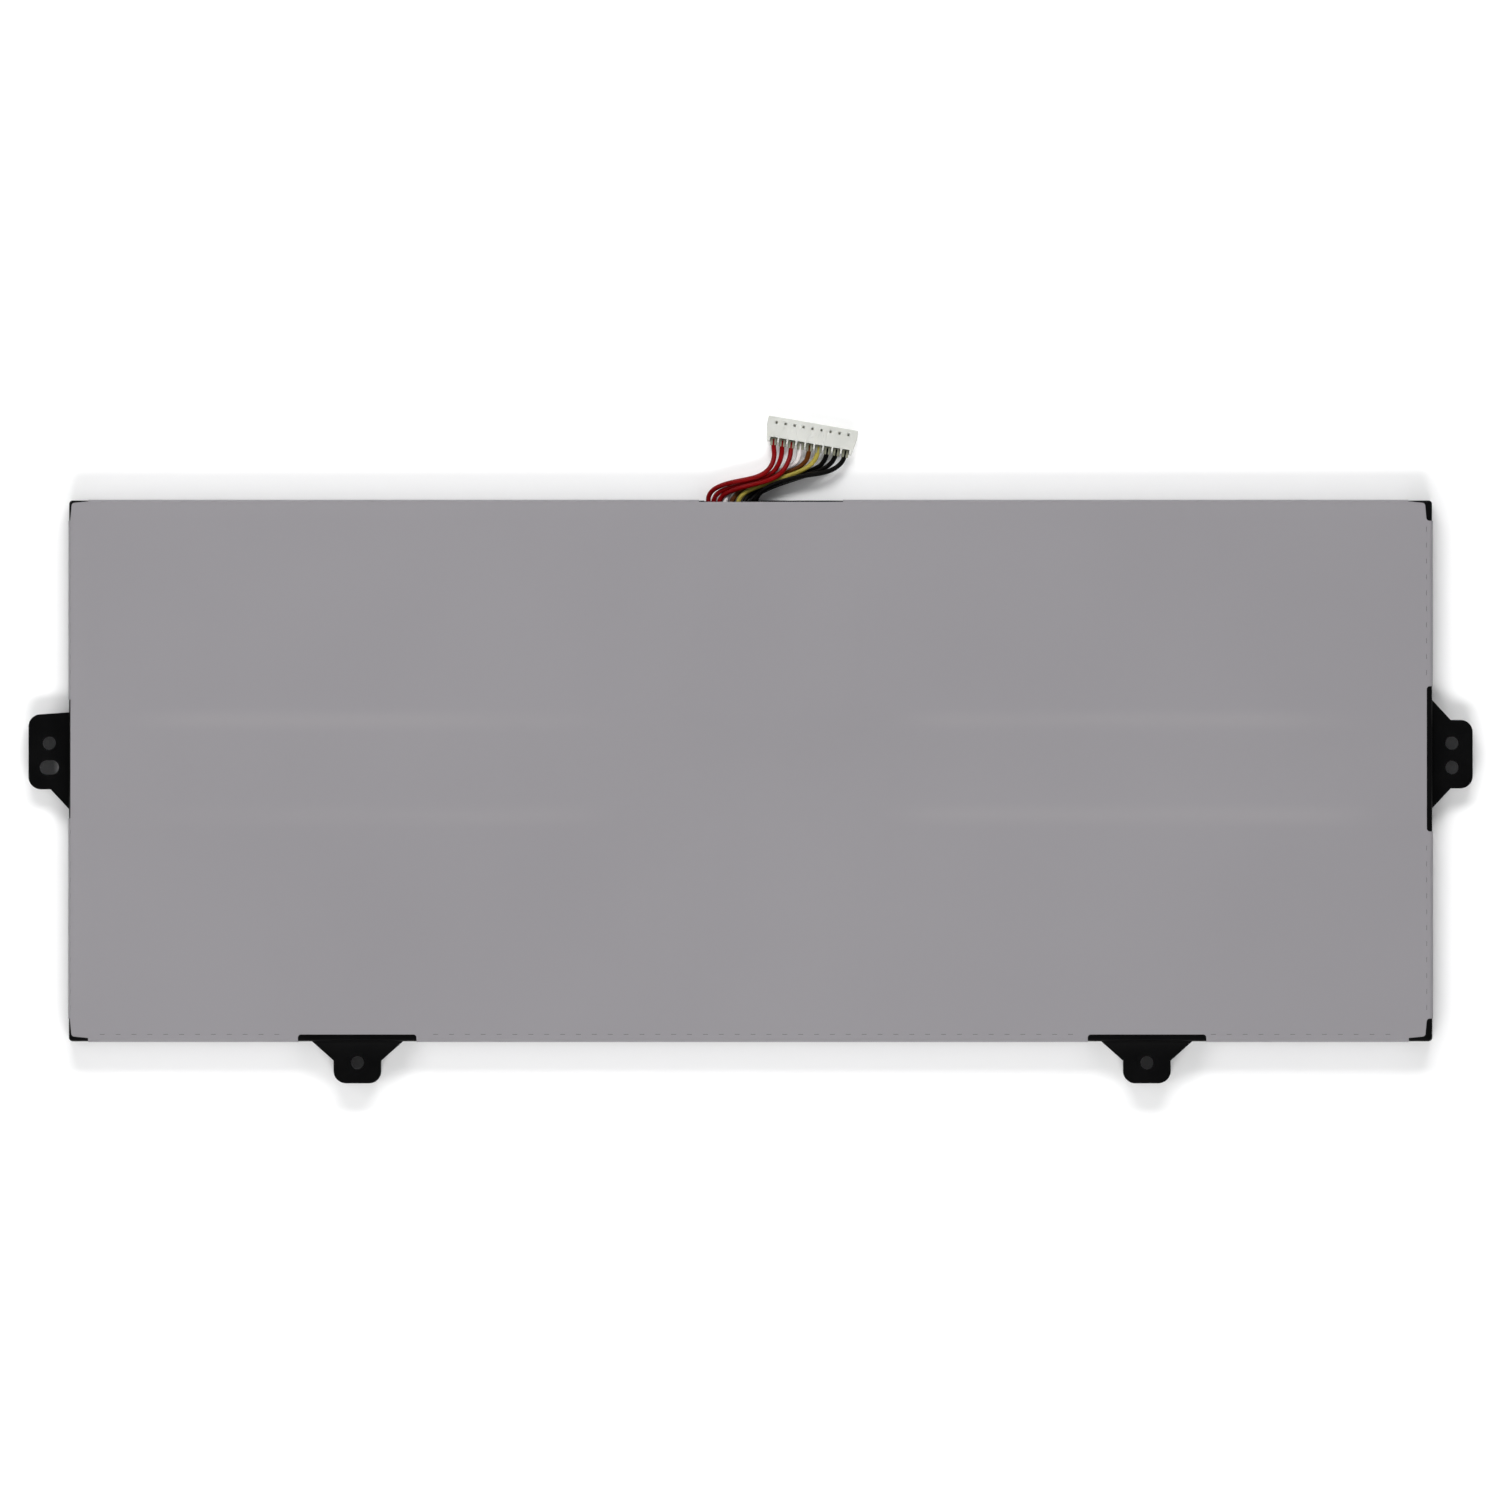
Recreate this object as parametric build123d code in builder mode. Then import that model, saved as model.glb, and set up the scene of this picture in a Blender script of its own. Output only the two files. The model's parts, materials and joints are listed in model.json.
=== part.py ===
from build123d import *
import os
from math import cos, pi, radians, sin, tan

# Wrapped body of the pack, in millimetres, without ears, lead and plug
pack_length = 224.5
pack_width = 89.2
pack_height = 5.4
corner_radius = 0.7
fold_radius = 0.5

# Top film: folded flaps on all four sides, laid a little off towards the left and the rear
film_thickness = 0.12
hem_height = 0.6
side_cut_inset = 0.66
end_cut_inset = 0.455
film_shift_left = 0.36
film_shift_rear = 0.175
corner_cut = 3.65
corner_slant = 0.27
notch_corner = 0.5
left_notch_front_margin = 1.5
left_notch_rear_margin = 2.05
right_notch_front_margin = 3.8
right_notch_rear_margin = 2.15
front_notch_margin = 2.25
front_notch_depth = 1.2
lead_notch_left_margin = 0.9
lead_notch_right_margin = 13.6

# Base film that the pack rests on
base_film_thickness = 0.1
base_film_inset = 1.0
base_film_corner = 0.5

# Moulded frame
side_wall = 1.2
rear_wall = 1.2
front_wall = 2.2
channel_width = 31.7
strip_width = 15.0
rail_thickness = 1.0
rib_thickness = 1.0
floor_thickness = 0.6
ear_root_length = 14.0
front_pocket_columns = 2
front_pocket_rows = 3
lead_slot_left = -7.6
lead_slot_right = 1.6
lead_slot_floor = 1.4

# Screw ears, each with its holes the same way in from the tip
ear_overlap = 0.6
ear_tip_radius = 2.0
hole_inset = 3.4
screw_hole_diameter = 2.2
slot_length = 3.2
slot_width = 2.4
side_ear_reach = 6.6
side_ear_bottom = 1.2
side_ear_thickness = 2.0
side_hole_y = 4.6
side_hole_pitch = 4.0
side_gusset_depth = 3.1
side_gusset_length = 3.35
left_ear_front = -3.0
left_ear_rear = 9.2
left_ear_taper = 0.45
right_ear_front = -2.85
right_ear_rear = 8.4
front_ear_reach = 6.8
front_ear_width = 7.8
front_ear_bottom = 0.7
front_ear_thickness = 4.0
front_ear_spacing = 129.9
front_ear_shift = 0.25
front_gusset_depth = 3.2
front_gusset_length = 3.6

# Pouch cells, two behind and two in front of the board strip, with sealed edges towards the strip
cell_gap = 0.35
cell_rise = 0.18
cell_corner = 1.4
cell_edge = 0.7
side_seal = 0.3
side_seal_height = 3.0
terrace_width = 3.5
terrace_thickness = 0.4

# Tabs and the plates that they are welded to
tab_width = 5.0
tab_thickness = 0.15
tab_spread = 40.0
tab_lead_out = 0.45
tab_slope = 1.1
weld_plate_length = 5.4
weld_plate_width = 2.2
weld_plate_thickness = 0.3
weld_overhang = 0.1

# Protection board, a T with its stem towards the lead, and the tape over it
board_end_gap = 4.9
board_width = 8.0
board_thickness = 0.8
board_corner = 0.8
stem_margin = 0.45
stem_tail = 2.5
tape_end = 1.0
tape_overlap = 1.7
tape_thickness = 0.08

# Parts on the board: centre from the middle of the strip, then length, width and height
board_parts = {
    "gauge_chip": (-1.0, 18.5, 5.0, 5.0, 0.9),
    "protector_chip": (5.5, 12.0, 3.0, 3.0, 0.8),
    "charge_switch": (-14.0, 0.0, 3.3, 3.3, 0.8),
    "discharge_switch": (-20.0, 0.0, 3.3, 3.3, 0.8),
    "fuse": (21.0, 0.0, 4.0, 3.0, 0.9),
    "sense_resistor": (29.0, 0.0, 6.3, 3.2, 0.6),
    "thermistor": (60.0, 0.0, 1.6, 0.8, 0.6),
}
part_edge = 0.12
capacitor_length = 1.0
capacitor_width = 0.5
capacitor_height = 0.5
capacitor_rows = 4
capacitor_pitch = 1.3
capacitor_spread = 8.0

# Lead: nine wires, soldered to the stem and crimped in the plug
wire_diameter = 0.8
pad_pitch = 1.5
pad_row_x = -3.0
pad_row_inset = 12.78
pad_gap = 0.05
joint_length = 1.3
joint_width = 1.1
joint_cover = 0.04
joint_edge = 0.25

# Plug, lying on the ground behind the pack
plug_x = 10.25
plug_y = 56.7
plug_turn = -9.85
plug_ways = 9
plug_pitch = 1.5
plug_end_wall = 1.5
plug_front = 0.6
plug_roof_rear = 2.75
plug_rear = 3.55
plug_height = 2.35
plug_taper_start = 0.9
plug_taper = 0.45
plug_edge = 0.2
cavity_floor = 0.45
cavity_roof = 1.85
cavity_front = 0.2
window_width = 0.36
window_length = 0.42
window_set_back = 0.3
pin_hole = 0.64

# Crimped contacts in the plug
wire_play = 0.02
contact_play = 0.05
contact_wall = 0.13
contact_rise = 0.14
contact_wall_top = 1.35
contact_front = 0.2
contact_box_rear = 1.9
crimp_rear = 3.05
crimp_top = 1.5

# Heights and faces that follow from the sizes above
frame_length = pack_length - 2 * film_thickness
frame_width = pack_width - 2 * film_thickness
frame_bottom = base_film_thickness
frame_top = pack_height - film_thickness
frame_height = frame_top - frame_bottom
frame_corner = corner_radius - film_thickness
frame_edge = fold_radius - film_thickness
floor_top = frame_bottom + floor_thickness
board_top = floor_top + board_thickness
inner_x = frame_length / 2 - side_wall
inner_rear = frame_width / 2 - rear_wall
inner_front = frame_width / 2 - front_wall
bay_length = inner_x - channel_width / 2 - rail_thickness
bay_width = (inner_rear + inner_front - strip_width) / 2
bay_x = inner_x - bay_length / 2
rear_bay_y = inner_rear - bay_width / 2
front_bay_y = bay_width / 2 - inner_front
strip_y = (rear_bay_y + front_bay_y) / 2
strip_front = strip_y - strip_width / 2
cell_length = bay_length - 2 * cell_gap
cell_width = bay_width - 2 * cell_gap
cell_bottom = frame_bottom + cell_rise
cell_thickness = frame_top - cell_bottom
cell_middle = cell_bottom + cell_thickness / 2
pad_row_y = inner_rear - pad_row_inset
pad_wire_height = board_top + pad_gap + wire_diameter / 2
contact_width = wire_diameter + 2 * (wire_play + contact_wall)
cavity_width = contact_width + 2 * contact_play
wire_height = cavity_floor + contact_wall + contact_rise + wire_diameter / 2
row_half = (plug_ways - 1) / 2
way_x = [plug_pitch * (way - row_half) for way in range(plug_ways)]
pad_x = [pad_row_x + pad_pitch * (way - row_half) for way in range(plug_ways)]

os.makedirs("parts", exist_ok=True)


def save(piece, name):
    piece.part.label = name
    export_step(piece.part, f"parts/{name}.step")


# Frame: rounded ring, open bays for the cells, floor under the board, ears with screw holes
front_pocket_depth = inner_front + strip_front - rail_thickness
pocket_length = (channel_width - (front_pocket_columns - 1) * rib_thickness) / front_pocket_columns
pocket_width = (front_pocket_depth - (front_pocket_rows - 1) * rib_thickness) / front_pocket_rows
side_edge = frame_length / 2
front_edge = -frame_width / 2
side_tip = pack_length / 2 + side_ear_reach
front_tip = -pack_width / 2 - front_ear_reach
side_hole_x = side_tip - hole_inset
front_hole_y = front_tip + hole_inset
front_ear_x = [front_ear_shift - front_ear_spacing / 2, front_ear_shift + front_ear_spacing / 2]

left_gusset_end = left_ear_front - side_gusset_length
left_ear_root = left_ear_rear + left_ear_taper
right_gusset_front = right_ear_front - side_gusset_length
right_gusset_rear = right_ear_rear + side_gusset_length
left_ear = [
    (ear_overlap - side_edge, left_gusset_end),
    (ear_overlap - side_edge, left_ear_root),
    (-side_edge, left_ear_root),
    (-side_tip, left_ear_rear),
    (-side_tip, left_ear_front),
    (-side_edge - side_gusset_depth, left_ear_front),
    (-side_edge, left_gusset_end),
]
right_ear = [
    (side_edge - ear_overlap, right_gusset_front),
    (side_edge, right_gusset_front),
    (side_edge + side_gusset_depth, right_ear_front),
    (side_tip, right_ear_front),
    (side_tip, right_ear_rear),
    (side_edge + side_gusset_depth, right_ear_rear),
    (side_edge, right_gusset_rear),
    (side_edge - ear_overlap, right_gusset_rear),
]
front_half = front_ear_width / 2
front_ear = [
    (-front_half - front_gusset_length, front_edge + ear_overlap),
    (-front_half - front_gusset_length, front_edge),
    (-front_half, front_edge - front_gusset_depth),
    (-front_half, front_tip),
    (front_half, front_tip),
    (front_half, front_edge - front_gusset_depth),
    (front_half + front_gusset_length, front_edge),
    (front_half + front_gusset_length, front_edge + ear_overlap),
]
left_radii = [0, 0, 0, ear_tip_radius, ear_tip_radius, 0, 0]
ear_radii = left_radii + [0]

with BuildPart() as frame:
    with BuildSketch(Plane.XY.offset(frame_bottom)):
        RectangleRounded(frame_length, frame_width, frame_corner)
    extrude(amount=frame_height)
    fillet(frame.faces().sort_by(Axis.Z)[-1].edges(), radius=frame_edge)
    # Bays for the four cells, right through
    with BuildSketch(Plane.XY.offset(frame_bottom)):
        for bay_y in (rear_bay_y, front_bay_y):
            with Locations((-bay_x, bay_y), (bay_x, bay_y)):
                Rectangle(bay_length, bay_width)
    extrude(amount=frame_height, mode=Mode.SUBTRACT)
    # Strip and rear channel for the board, and ribbed pockets in front of it, down to the floor
    with BuildSketch(Plane.XY.offset(floor_top)):
        with Locations((0, strip_y)):
            Rectangle(2 * inner_x, strip_width)
        with Locations((ear_root_length / 2 - inner_x, strip_y), (inner_x - ear_root_length / 2, strip_y)):
            Rectangle(ear_root_length, strip_width - 2 * terrace_width, mode=Mode.SUBTRACT)
        with Locations((0, rear_bay_y)):
            Rectangle(channel_width, bay_width)
        with Locations((0, strip_front - rail_thickness - front_pocket_depth / 2)):
            with GridLocations(
                pocket_length + rib_thickness,
                pocket_width + rib_thickness,
                front_pocket_columns,
                front_pocket_rows,
            ):
                Rectangle(pocket_length, pocket_width)
    extrude(amount=frame_top - floor_top, mode=Mode.SUBTRACT)
    # Slot in the rear wall for the lead
    with BuildSketch(Plane.XY.offset(lead_slot_floor)):
        with Locations(((lead_slot_left + lead_slot_right) / 2, frame_width / 2 - rear_wall / 2)):
            Rectangle(lead_slot_right - lead_slot_left, rear_wall)
    extrude(amount=frame_top - lead_slot_floor, mode=Mode.SUBTRACT)
    # Ears
    with BuildSketch(Plane.XY.offset(side_ear_bottom)):
        with BuildLine():
            FilletPolyline(*left_ear, radius=left_radii, close=True)
        make_face()
        with BuildLine():
            FilletPolyline(*right_ear, radius=ear_radii, close=True)
        make_face()
        with Locations((-side_hole_x, side_hole_y)):
            Circle(screw_hole_diameter / 2, mode=Mode.SUBTRACT)
        with Locations((-side_hole_x, side_hole_y - side_hole_pitch)):
            SlotOverall(slot_length, slot_width, mode=Mode.SUBTRACT)
        with Locations((side_hole_x, side_hole_y), (side_hole_x, side_hole_y - side_hole_pitch)):
            Circle(screw_hole_diameter / 2, mode=Mode.SUBTRACT)
    extrude(amount=side_ear_thickness)
    for ear_x in front_ear_x:
        with BuildSketch(Plane((ear_x, 0, front_ear_bottom))):
            with BuildLine():
                FilletPolyline(*front_ear, radius=ear_radii, close=True)
            make_face()
            with Locations((0, front_hole_y)):
                Circle(screw_hole_diameter / 2, mode=Mode.SUBTRACT)
        extrude(amount=front_ear_thickness)
save(frame, "frame")

# Top film: a folded sheet over the frame, cut away at the corners, the ears and the lead
left_cut = side_cut_inset - film_shift_left
right_cut = side_cut_inset + film_shift_left
rear_cut = end_cut_inset - film_shift_rear
front_cut = end_cut_inset + film_shift_rear
side_face = pack_length / 2
rear_face = pack_width / 2
left_notch = (left_gusset_end - left_notch_front_margin, left_ear_root + left_notch_rear_margin)
right_notch = (right_gusset_front - right_notch_front_margin, right_gusset_rear + right_notch_rear_margin)
front_notch_length = front_ear_width + 2 * (front_gusset_length + front_notch_margin)
lead_notch = (lead_slot_left - lead_notch_left_margin, lead_slot_right + lead_notch_right_margin)


def rounding(cut):
    return notch_corner if cut > 2 * notch_corner else 0


def corner_outline(toward_x, toward_y, cut_x, cut_y):
    leg_x = corner_cut + toward_x * film_shift_left
    leg_y = corner_cut - toward_y * film_shift_rear
    inward = [
        (0, 0),
        (leg_x, 0),
        (leg_x, cut_y),
        (cut_x + corner_slant, cut_y + corner_slant),
        (cut_x, leg_y),
        (0, leg_y),
    ]
    points = [(toward_x * (side_face - x), toward_y * (rear_face - y)) for x, y in inward]
    return points, [0, 0, rounding(cut_y), notch_corner, rounding(cut_x), 0]


corner_outlines = [
    corner_outline(-1, 1, left_cut, rear_cut),
    corner_outline(1, 1, right_cut, rear_cut),
    corner_outline(-1, -1, left_cut, front_cut),
    corner_outline(1, -1, right_cut, front_cut),
]

with BuildPart() as film_inside:
    with BuildSketch(Plane.XY.offset(frame_bottom)):
        RectangleRounded(frame_length, frame_width, frame_corner)
    extrude(amount=frame_height)
    fillet(film_inside.faces().sort_by(Axis.Z)[-1].edges(), radius=frame_edge)

with BuildPart() as top_film:
    with BuildSketch(Plane.XY.offset(hem_height)):
        RectangleRounded(pack_length, pack_width, corner_radius)
    extrude(amount=pack_height - hem_height)
    fillet(top_film.faces().sort_by(Axis.Z)[-1].edges(), radius=fold_radius)
    add(film_inside.part, mode=Mode.SUBTRACT)
    with BuildSketch():
        for points, radii in corner_outlines:
            with BuildLine():
                FilletPolyline(*points, radius=radii, close=True)
            make_face()
        with Locations((left_cut / 2 - side_face, sum(left_notch) / 2)):
            Rectangle(left_cut, left_notch[1] - left_notch[0])
        with Locations((side_face, sum(right_notch) / 2)):
            RectangleRounded(2 * right_cut, right_notch[1] - right_notch[0], notch_corner)
        with Locations(*[(ear_x, -rear_face) for ear_x in front_ear_x]):
            RectangleRounded(front_notch_length, 2 * front_notch_depth, notch_corner)
        with Locations((sum(lead_notch) / 2, rear_face - rear_cut / 2)):
            Rectangle(lead_notch[1] - lead_notch[0], rear_cut)
    extrude(amount=pack_height, mode=Mode.SUBTRACT)
save(top_film, "top_film")

# Base film
with BuildPart() as base_film:
    with BuildSketch():
        RectangleRounded(
            frame_length - 2 * base_film_inset, frame_width - 2 * base_film_inset, base_film_corner
        )
    extrude(amount=base_film_thickness)
save(base_film, "base_film")

# Cells, their tabs and the weld plates
weld_top = board_top + weld_plate_thickness
tab_height = cell_middle - tab_thickness / 2
rows = {"rear": (rear_bay_y, -1), "front": (front_bay_y, 1)}
sides = {"left": -bay_x, "right": bay_x}
terrace_edge = {}
for row, (cell_y, toward_strip) in rows.items():
    terrace_y = cell_y + toward_strip * (cell_width + terrace_width) / 2
    terrace_edge[row] = cell_y + toward_strip * (cell_width / 2 + terrace_width)
    for side, cell_x in sides.items():
        with BuildPart() as cell:
            with BuildSketch(Plane.XY.offset(cell_bottom)):
                with Locations((cell_x, cell_y)):
                    RectangleRounded(cell_length - 2 * side_seal, cell_width, cell_corner)
            extrude(amount=cell_thickness)
            chamfer(cell.faces().filter_by(Axis.Z).edges(), length=cell_edge)
            # Side seals folded up against both ends
            with BuildSketch(Plane.XY.offset(cell_middle - side_seal_height / 2)):
                with Locations((cell_x, cell_y)):
                    Rectangle(cell_length, cell_width - 2 * cell_corner)
            extrude(amount=side_seal_height)
            # Sealed terrace, where the tabs come out
            with BuildSketch(Plane.XY.offset(cell_middle - terrace_thickness / 2)):
                with Locations((cell_x, terrace_y - toward_strip * cell_corner / 2)):
                    Rectangle(cell_length - 2 * side_seal, terrace_width + cell_corner)
            extrude(amount=terrace_thickness)
        save(cell, f"cell_{row}_{side}")

        for pole, shift in (("positive", -tab_spread / 2), ("negative", tab_spread / 2)):
            bend = terrace_edge[row] + toward_strip * tab_lead_out
            foot = bend + toward_strip * tab_slope
            end = foot + toward_strip * (weld_plate_width - 2 * weld_overhang)
            under = [(terrace_edge[row], tab_height), (bend, tab_height), (foot, weld_top), (end, weld_top)]
            over = [(y, z + tab_thickness) for y, z in reversed(under)]
            with BuildPart() as tab:
                with BuildSketch(Plane.YZ.offset(cell_x + shift - tab_width / 2)):
                    with BuildLine():
                        Polyline(*under, *over, close=True)
                    make_face()
                extrude(amount=tab_width)
            save(tab, f"{pole}_tab_{row}_{side}")

plate_offset = tab_lead_out + tab_slope + weld_plate_width / 2 - weld_overhang
with BuildPart() as weld_plates:
    with BuildSketch(Plane.XY.offset(board_top)):
        for row, (cell_y, toward_strip) in rows.items():
            for cell_x in sides.values():
                plate_y = terrace_edge[row] + toward_strip * plate_offset
                with Locations((cell_x - tab_spread / 2, plate_y), (cell_x + tab_spread / 2, plate_y)):
                    Rectangle(weld_plate_length, weld_plate_width)
    extrude(amount=weld_plate_thickness)
save(weld_plates, "weld_plates")

# Board and what is soldered to it
board_length = 2 * (inner_x - ear_root_length - board_end_gap)
stem_width = 2 * (abs(pad_row_x) + pad_pitch * row_half + joint_width / 2 + stem_margin)
stem_end_y = pad_row_y + stem_tail
with BuildPart() as circuit_board:
    with BuildSketch(Plane.XY.offset(floor_top)) as board_outline:
        with Locations((0, strip_y)):
            Rectangle(board_length, board_width)
        with Locations((0, (strip_y + stem_end_y) / 2)):
            Rectangle(stem_width, stem_end_y - strip_y)
        fillet(board_outline.vertices(), radius=board_corner)
    extrude(amount=board_thickness)
save(circuit_board, "circuit_board")

for name, (along, across, length, width, height) in board_parts.items():
    with BuildPart() as board_part:
        with BuildSketch(Plane.XY.offset(board_top)):
            with Locations((along, strip_y + across)):
                Rectangle(length, width)
        extrude(amount=height)
        chamfer(board_part.faces().sort_by(Axis.Z)[-1].edges(), length=part_edge)
    save(board_part, name)

gauge_x, gauge_y = board_parts["gauge_chip"][:2]
with BuildPart() as capacitors:
    with BuildSketch(Plane.XY.offset(board_top)):
        with Locations((gauge_x, strip_y + gauge_y)):
            with GridLocations(capacitor_spread, capacitor_pitch, 2, capacitor_rows):
                Rectangle(capacitor_length, capacitor_width)
    extrude(amount=capacitor_height)
save(capacitors, "capacitors")

with BuildPart() as board_tape:
    with BuildSketch(Plane.XY.offset(cell_middle + terrace_thickness / 2)):
        with Locations((0, strip_y)):
            Rectangle(
                board_length + 2 * tape_end, terrace_edge["rear"] - terrace_edge["front"] + 2 * tape_overlap
            )
    extrude(amount=tape_thickness)
save(board_tape, "board_tape")

with BuildPart() as solder_joints:
    with BuildSketch(Plane.XY.offset(board_top)):
        with Locations(*[(x, pad_row_y - joint_length / 2) for x in pad_x]):
            Rectangle(joint_width, joint_length)
    extrude(amount=pad_gap + wire_diameter + joint_cover)
    fillet(solder_joints.faces().group_by(Axis.Z)[-1].edges().filter_by(Axis.Y), radius=joint_edge)
save(solder_joints, "solder_joints")

# Plug: local x along the row of contacts, local y towards the mating face
plug_plane = Plane((plug_x, plug_y, 0), x_dir=(cos(radians(plug_turn)), sin(radians(plug_turn)), 0))
plug_half = plug_pitch * row_half + plug_end_wall
plug_outline = [
    (-plug_half, plug_front),
    (plug_half, plug_front),
    (plug_half, -plug_taper_start),
    (plug_half - plug_taper, -plug_rear),
    (plug_taper - plug_half, -plug_rear),
    (-plug_half, -plug_taper_start),
]
cavity_middle = (cavity_front - plug_rear) / 2

with BuildPart() as connector_housing:
    with BuildSketch(plug_plane):
        with BuildLine():
            Polyline(*plug_outline, close=True)
        make_face()
    extrude(amount=plug_height)
    fillet(connector_housing.edges().filter_by(Axis.Z), radius=plug_edge)
    # One cavity for each contact, open behind the roof, with a pin hole in front and a latch window
    with BuildSketch(plug_plane.offset(cavity_floor)):
        with Locations(*[(x, cavity_middle) for x in way_x]):
            Rectangle(cavity_width, cavity_front + plug_rear)
    extrude(amount=cavity_roof - cavity_floor, mode=Mode.SUBTRACT)
    with BuildSketch(plug_plane.offset(cavity_roof)):
        with Locations(*[(x, -(plug_roof_rear + plug_rear) / 2) for x in way_x]):
            Rectangle(cavity_width, plug_rear - plug_roof_rear)
        with Locations(*[(x, -window_set_back) for x in way_x]):
            Rectangle(window_width, window_length)
    extrude(amount=plug_height - cavity_roof, mode=Mode.SUBTRACT)
    with BuildSketch(plug_plane.offset(wire_height - pin_hole / 2)):
        with Locations(*[(x, (cavity_front + plug_front) / 2) for x in way_x]):
            Rectangle(pin_hole, plug_front - cavity_front)
    extrude(amount=pin_hole, mode=Mode.SUBTRACT)
save(connector_housing, "connector_housing")

# Contacts: folded channel, box for the pin in front, crimped core, wings beside the wire behind
contact_middle = -(contact_front + plug_rear) / 2
contact_length = plug_rear - contact_front
for way, x in enumerate(way_x, start=1):
    with BuildPart() as terminal:
        with BuildSketch(plug_plane.offset(cavity_floor)):
            with Locations((x, contact_middle)):
                Rectangle(contact_width, contact_length)
        extrude(amount=contact_wall_top - cavity_floor)
        with BuildSketch(plug_plane.offset(cavity_floor + contact_wall)):
            with Locations((x, contact_middle)):
                Rectangle(contact_width - 2 * contact_wall, contact_length)
        extrude(amount=contact_wall_top - cavity_floor, mode=Mode.SUBTRACT)
        with BuildSketch(plug_plane.offset(cavity_floor)):
            with Locations((x, -(crimp_rear + contact_box_rear) / 2)):
                Rectangle(contact_width, crimp_rear - contact_box_rear)
        extrude(amount=crimp_top - cavity_floor)
        with BuildSketch(plug_plane.offset(contact_wall_top)):
            with Locations((x, -(contact_front + contact_box_rear) / 2)):
                Rectangle(contact_width, contact_box_rear - contact_front)
        extrude(amount=contact_wall)
    save(terminal, f"terminal_{way}")

# Wires: free route from the plug to the rear slot, then a gentle fan to the solder joints
free_routes = {
    "red_1": [
        (3.75, 53.55, 1.14), (3.95, 52.25, 1.35), (3.68, 50.75, 1.85), (2.78, 49.4, 2.3), (1.3, 48.5, 2.5),
        (-0.8, 47.98, 2.55), (-3.0, 47.58, 2.52), (-4.95, 47.02, 2.4), (-6.4, 46.2, 2.2), (-7.02, 45.05, 2.0),
        (-6.92, 43.7, 1.98),
    ],
    "red_2": [
        (5.18, 53.35, 1.14), (5.12, 52.1, 1.28), (4.68, 50.6, 1.55), (3.75, 49.25, 1.72), (2.25, 48.3, 1.78),
        (0.2, 47.65, 1.8), (-1.95, 47.1, 1.82), (-3.85, 46.6, 1.85), (-5.45, 45.85, 1.93), (-6.1, 44.75, 2.0),
        (-6.07, 43.5, 1.98),
    ],
    "red_3": [
        (6.65, 53.1, 1.15), (6.52, 51.8, 1.5), (5.92, 50.3, 2.05), (4.85, 48.88, 2.4), (3.2, 47.95, 2.5),
        (1.2, 47.38, 2.5), (-0.9, 46.85, 2.5), (-2.95, 46.2, 2.45), (-4.45, 45.55, 2.25), (-5.15, 44.6, 2.05),
        (-5.22, 43.4, 1.98),
    ],
    "white": [
        (8.15, 52.85, 1.08), (7.88, 51.5, 0.88), (7.1, 50.5, 0.65), (5.7, 49.85, 0.46), (3.9, 49.2, 0.42),
        (1.9, 48.53, 0.42), (-0.1, 47.8, 0.48), (-2.05, 46.9, 0.85), (-3.4, 45.9, 1.38), (-4.15, 44.75, 1.84),
        (-4.3, 43.4, 1.98),
    ],
    "brown": [
        (9.62, 52.6, 1.1), (9.28, 51.3, 1.05), (8.25, 50.2, 0.98), (6.65, 49.4, 0.92), (4.65, 48.7, 0.88),
        (2.6, 48.0, 0.84), (0.6, 47.25, 0.82), (-1.15, 46.42, 0.98), (-2.4, 45.6, 1.45), (-3.05, 44.65, 1.86),
        (-3.2, 43.35, 1.98),
    ],
    "yellow": [
        (11.08, 52.35, 1.12), (10.45, 51.0, 1.3), (9.25, 49.95, 1.55), (7.6, 49.1, 1.66), (5.65, 48.45, 1.64),
        (3.65, 47.75, 1.6), (1.7, 47.05, 1.56), (-0.1, 46.35, 1.6), (-1.38, 45.55, 1.78), (-2.0, 44.58, 1.93),
        (-2.2, 43.35, 1.98),
    ],
    "black_1": [
        (12.55, 52.1, 1.1), (12.0, 50.8, 0.95), (10.75, 49.85, 0.72), (8.9, 49.15, 0.55), (6.9, 48.55, 0.48),
        (4.9, 47.88, 0.45), (2.9, 47.2, 0.45), (1.25, 46.4, 0.55), (-0.05, 45.62, 1.0), (-0.92, 44.7, 1.66),
        (-1.2, 43.35, 1.98),
    ],
    "black_2": [
        (14.0, 51.85, 1.12), (13.2, 50.6, 1.2), (11.75, 49.65, 1.3), (9.95, 48.98, 1.32), (8.0, 48.38, 1.3),
        (6.0, 47.72, 1.28), (4.0, 47.05, 1.25), (2.3, 46.3, 1.25), (0.87, 45.45, 1.42), (-0.05, 44.5, 1.77),
        (-0.35, 43.3, 1.98),
    ],
    "black_3": [
        (15.45, 51.6, 1.2), (14.75, 50.45, 1.6), (13.2, 49.45, 2.05), (11.25, 48.98, 2.3), (9.1, 48.68, 2.38),
        (7.0, 48.22, 2.4), (5.0, 47.62, 2.4), (3.15, 46.9, 2.4), (1.75, 46.05, 2.38), (0.92, 44.95, 2.32),
        (0.5, 43.45, 1.98),
    ],
}
fan_share = (0.15, 0.5, 0.85)
fan_y = (41.1, 37.6, 34.0)
fan_height = (2.1, 2.2, 2.12)
bend_share = 0.45


def bend_radii(points):
    radii = []
    for before, corner, after in zip(points, points[1:], points[2:]):
        arrive = Vector(corner) - Vector(before)
        leave = Vector(after) - Vector(corner)
        shorter = min(arrive.length, leave.length)
        radii.append(bend_share * shorter / tan(radians(arrive.get_angle(leave) / 2)))
    return radii


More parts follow.
